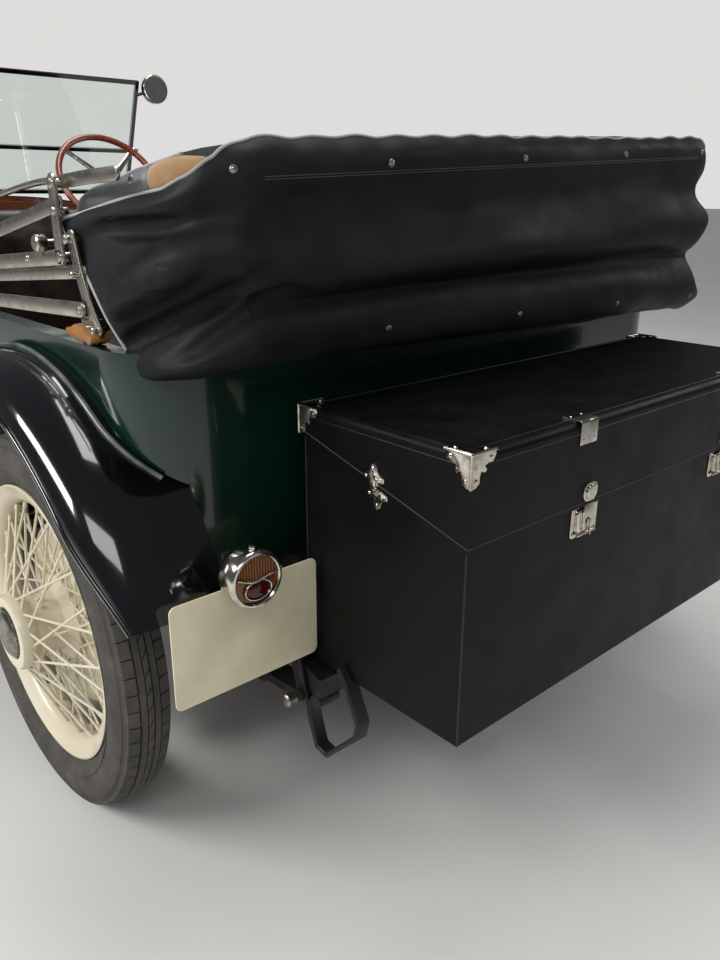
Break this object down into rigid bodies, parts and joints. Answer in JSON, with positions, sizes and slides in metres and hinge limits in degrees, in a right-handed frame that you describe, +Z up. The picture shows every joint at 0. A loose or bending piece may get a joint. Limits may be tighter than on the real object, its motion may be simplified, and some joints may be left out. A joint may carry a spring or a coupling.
{
  "type": "1920s touring car",
  "caption": "Open four-seat 1920s touring car with folded soft top, wire wheels, hinged bonnet and doors, steering, and a luggage trunk on a rear rack.",
  "frame": {"origin": "on the ground, at the middle of the car's length and width", "axes": "+X to the car's left side, +Y to the rear, +Z up"},
  "size_m": [1.76, 4.6291, 1.613],
  "materials": {
    "green_enamel": "gloss coach enamel",
    "black_enamel": "gloss stove enamel",
    "chassis_black": "satin chassis paint",
    "cream_enamel": "semi-gloss wheel enamel",
    "tyre_rubber": "matt with side bloom",
    "nickel": "polished nickel plate",
    "radiator_matrix": "blackened honeycomb",
    "seat_leather": "worn pleated hide",
    "hood_cloth": "rubberised duck cloth",
    "trunk_cloth": "grained coated cloth",
    "floor_wood": "varnished boards",
    "dash_wood": "polished veneer",
    "rim_wood": "polished rim",
    "engine_iron": "cast and oily",
    "pane": "plate glass",
    "plate_cream": "aged cream enamel"
  },
  "bodies": {
    "root": {"chassis_frame": "chassis_black", "front_axle": "chassis_black", "rear_axle": "chassis_black", "springs": "chassis_black", "engine": "engine_iron", "body_tub": "green_enamel", "scuttle": "green_enamel", "floor": "floor_wood", "dashboard": "dash_wood", "radiator_shell": "nickel", "radiator_core": "radiator_matrix", "rear_fenders": "black_enamel", "front_fenders": "black_enamel", "running_boards": "black_enamel", "windscreen_frame": "black_enamel", "windscreen_glass": "pane", "front_seat": "seat_leather", "rear_seat": "seat_leather", "steering_column": "nickel", "levers": "nickel", "headlamps": "nickel", "rear_lamp": "nickel", "number_plate": "plate_cream", "trunk_base": "trunk_cloth", "trunk_rack": "chassis_black", "folded_hood": "hood_cloth", "hood_irons": "nickel", "spare_tyre": "tyre_rubber", "spare_wheel": "cream_enamel"},
    "trunk_lid": {"trunk_lid": "trunk_cloth"},
    "steering_wheel": {"steering_wheel": "rim_wood"},
    "bonnet_left": {"bonnet_left": "green_enamel"},
    "bonnet_right": {"bonnet_right": "green_enamel"},
    "door_front_left": {"door_front_left": "green_enamel"},
    "door_rear_left": {"door_rear_left": "green_enamel"},
    "door_rear_right": {"door_rear_right": "green_enamel"},
    "knuckle_left": {"knuckle_left": "chassis_black"},
    "knuckle_right": {"knuckle_right": "chassis_black"},
    "tie_rod": {"tie_rod": "chassis_black"},
    "road_wheel_front_left": {"wheel_front_left": "cream_enamel", "tyre_front_left": "tyre_rubber"},
    "road_wheel_front_right": {"wheel_front_right": "cream_enamel", "tyre_front_right": "tyre_rubber"},
    "road_wheel_rear_left": {"wheel_rear_left": "cream_enamel", "tyre_rear_left": "tyre_rubber"},
    "road_wheel_rear_right": {"wheel_rear_right": "cream_enamel", "tyre_rear_right": "tyre_rubber"}
  },
  "joints": [
    {"name": "steer_left", "type": "hinge", "parent": "root", "child": "knuckle_left", "pos_m": [0.603, -1.81, 0.37], "axis": [0, 0, 1], "range_deg": [-28, 28]},
    {"name": "spin_front_left", "type": "hinge", "parent": "knuckle_left", "child": "road_wheel_front_left", "pos_m": [0.728, -1.81, 0.37], "axis": [1, 0, 0], "continuous": true},
    {"name": "spin_rear_left", "type": "hinge", "parent": "root", "child": "road_wheel_rear_left", "pos_m": [0.728, 1.49, 0.37], "axis": [1, 0, 0], "continuous": true},
    {"name": "bonnet_left_hinge", "type": "hinge", "parent": "root", "child": "bonnet_left", "pos_m": [0, -1.37, 1.108], "axis": [0, -1, 0], "range_deg": [0, 55]},
    {"name": "steer_right", "type": "hinge", "parent": "root", "child": "knuckle_right", "pos_m": [-0.603, -1.81, 0.37], "axis": [0, 0, 1], "range_deg": [-28, 28]},
    {"name": "spin_front_right", "type": "hinge", "parent": "knuckle_right", "child": "road_wheel_front_right", "pos_m": [-0.728, -1.81, 0.37], "axis": [1, 0, 0], "continuous": true},
    {"name": "spin_rear_right", "type": "hinge", "parent": "root", "child": "road_wheel_rear_right", "pos_m": [-0.728, 1.49, 0.37], "axis": [1, 0, 0], "continuous": true},
    {"name": "bonnet_right_hinge", "type": "hinge", "parent": "root", "child": "bonnet_right", "pos_m": [0, -1.37, 1.108], "axis": [0, 1, 0], "range_deg": [0, 55]},
    {"name": "tie_rod_pivot", "type": "hinge", "parent": "knuckle_left", "child": "tie_rod", "pos_m": [0.603, -1.66, 0.293], "axis": [0, 0, 1], "range_deg": [-28, 28]},
    {"name": "steering_wheel_turn", "type": "hinge", "parent": "root", "child": "steering_wheel", "pos_m": [-0.27, -0.17, 1.188], "axis": [0, 0.8261, 0.5635], "range_deg": [-336, 336]},
    {"name": "trunk_lid_hinge", "type": "hinge", "parent": "root", "child": "trunk_lid", "pos_m": [0, 1.9605, 0.804], "axis": [1, 0, 0], "range_deg": [0, 40]},
    {"name": "door_front_left_hinge", "type": "hinge", "parent": "root", "child": "door_front_left", "pos_m": [0.64873, -0.347, 0.758], "axis": [0, 0, -1], "range_deg": [0, 65]},
    {"name": "door_rear_left_hinge", "type": "hinge", "parent": "root", "child": "door_rear_left", "pos_m": [0.723, 0.473, 0.758], "axis": [0, 0, -1], "range_deg": [0, 65]},
    {"name": "door_rear_right_hinge", "type": "hinge", "parent": "root", "child": "door_rear_right", "pos_m": [-0.723, 0.473, 0.758], "axis": [0, 0, 1], "range_deg": [0, 65]}
  ],
  "couplings": [
    {"joint": "steer_right", "follows": "steer_left", "ratio": 1},
    {"joint": "tie_rod_pivot", "follows": "steer_left", "ratio": -1},
    {"joint": "steering_wheel_turn", "follows": "steer_left", "ratio": 12}
  ]
}
